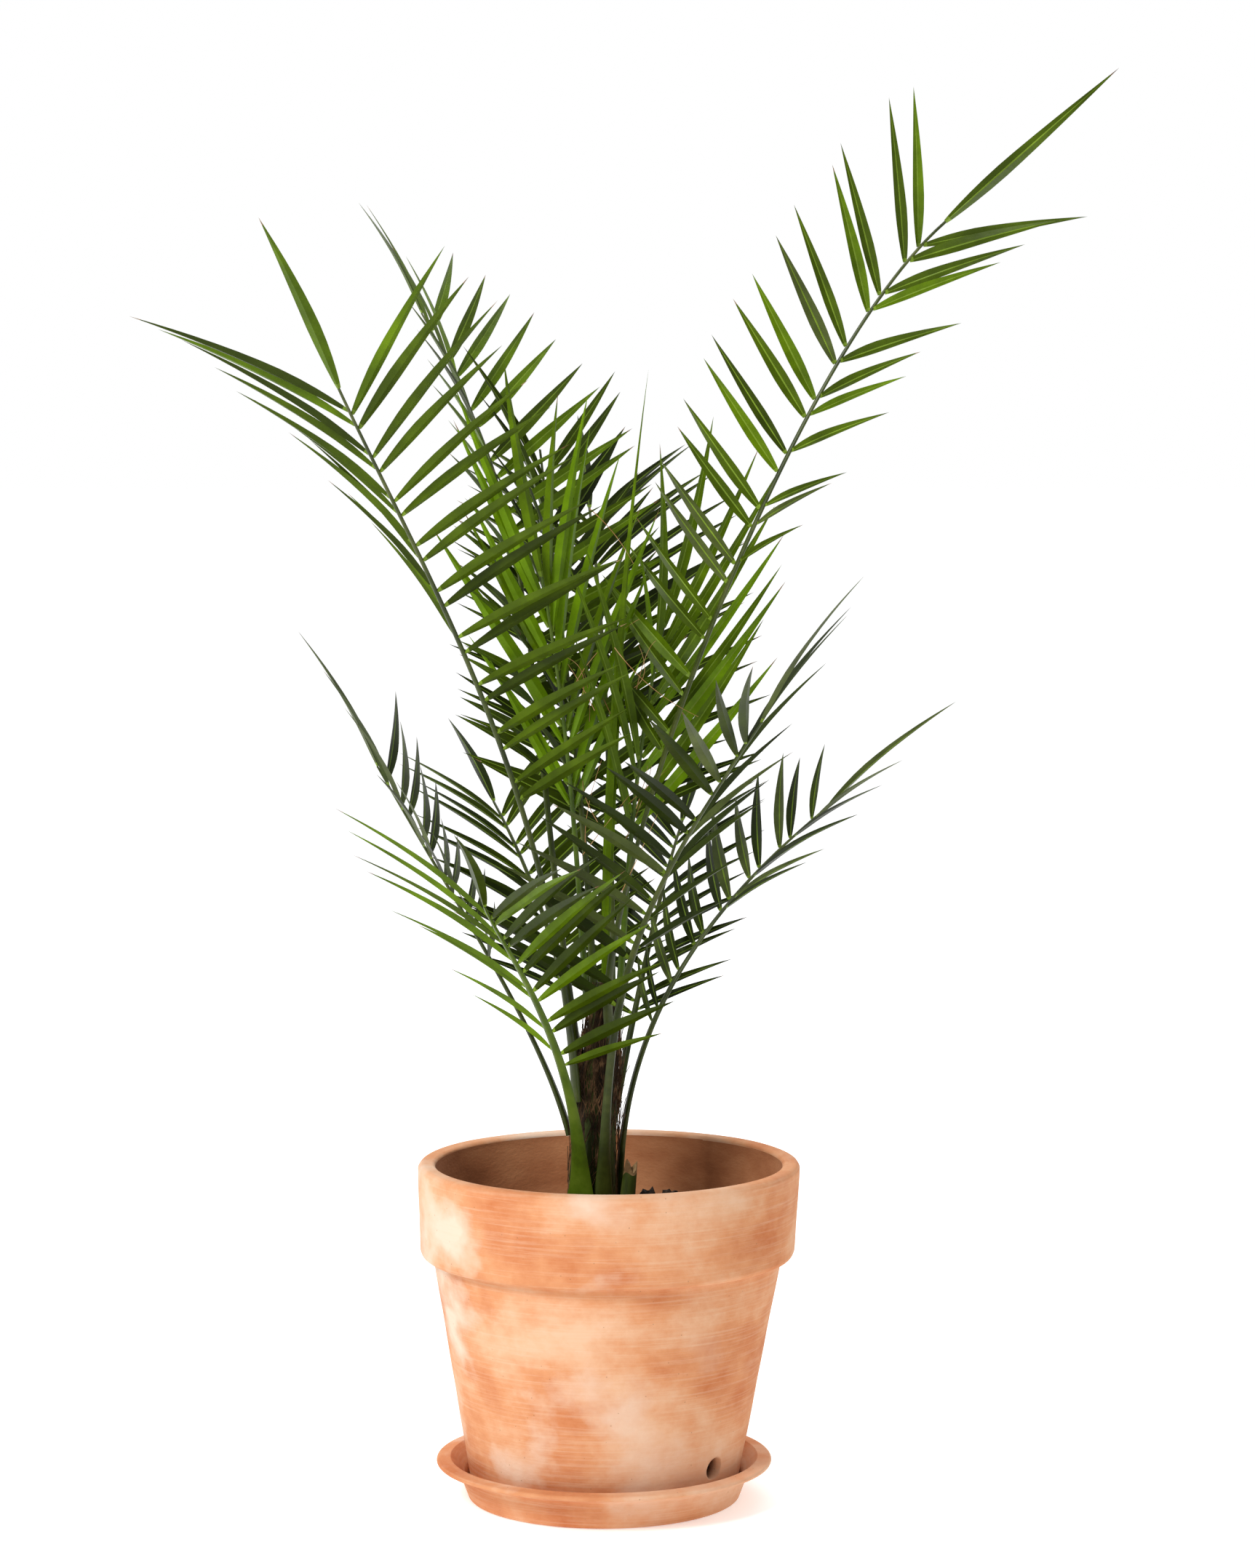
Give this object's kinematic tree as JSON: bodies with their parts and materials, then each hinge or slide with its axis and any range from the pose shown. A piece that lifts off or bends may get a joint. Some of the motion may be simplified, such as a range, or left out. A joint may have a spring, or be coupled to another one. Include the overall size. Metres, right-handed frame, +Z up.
{
  "type": "potted canary island date palm",
  "caption": "Young canary island date palm with arching feather fronds, rooted in a terracotta pot that stands in a terracotta saucer.",
  "frame": {"origin": "centre of the saucer's flat underside", "axes": "+Z up along the plant; looking along +Y shows the front, with +X to the right"},
  "size_m": [0.8544, 0.8723, 1.303],
  "materials": {
    "terracotta": "matt fired clay with pale lime bloom",
    "potting_soil": "dark crumbly potting soil",
    "stem_fibre": "brown leaf-base fibre",
    "leaf": "satin dark green leaf",
    "young_leaf": "satin bright green leaf"
  },
  "bodies": {
    "root": {"saucer": "terracotta", "pot": "terracotta", "soil": "potting_soil", "stem": "stem_fibre", "cut_stub": "leaf", "frond_left_tall": "leaf", "frond_right_tall": "leaf", "frond_right_front": "leaf", "frond_left_front": "leaf", "frond_left_low": "leaf", "frond_right_low": "leaf", "frond_left_second": "leaf", "frond_back_tall": "leaf", "frond_back_wide": "leaf", "frond_back_left_low": "leaf", "frond_back_right_low": "leaf", "frond_young_left": "young_leaf", "frond_young_right": "young_leaf", "spear": "young_leaf"}
  },
  "joints": []
}
